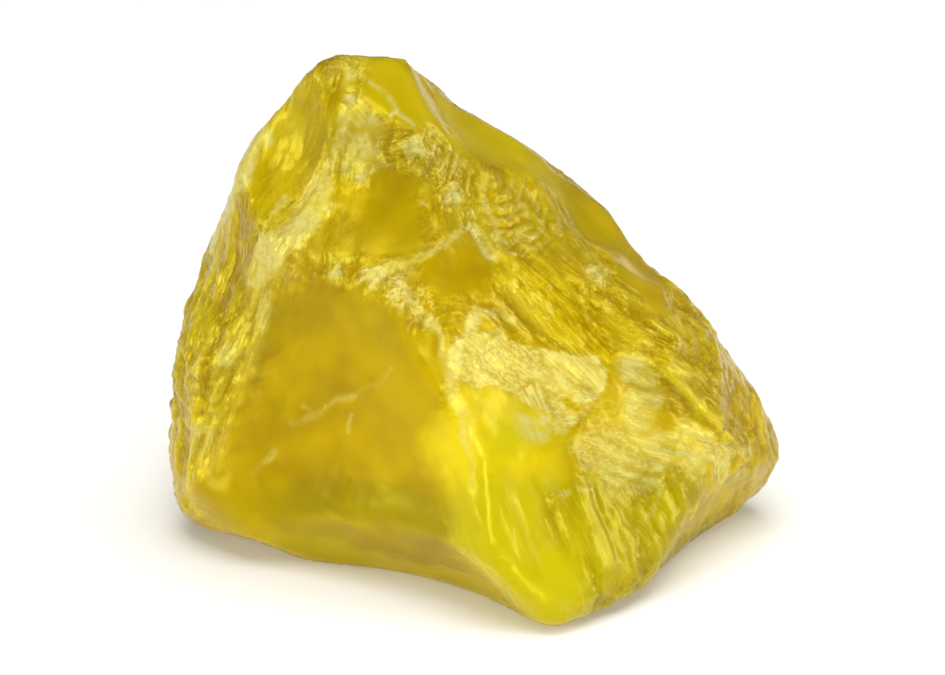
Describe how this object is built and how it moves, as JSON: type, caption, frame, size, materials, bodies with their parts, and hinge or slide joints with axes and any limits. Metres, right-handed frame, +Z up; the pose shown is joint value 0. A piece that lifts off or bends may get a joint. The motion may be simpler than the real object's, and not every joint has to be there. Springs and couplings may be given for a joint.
{
  "type": "raw citrine stone",
  "caption": "Rough chunk of translucent yellow quartz: a lopsided pyramid of shallow fracture faces and worn ridges that stands on a flat underside.",
  "frame": {"origin": "on the flat underside that the stone rests on, near its middle", "axes": "+Z up, square to the underside; +X along the stone's long side, towards its low pointed end; -Y towards the broad front ridge"},
  "size_m": [0.0332, 0.0232, 0.0281],
  "materials": {
    "citrine": "raw fracture, glassy where clean and frosted along the ridges"
  },
  "bodies": {
    "root": {"citrine": "citrine"}
  },
  "joints": []
}
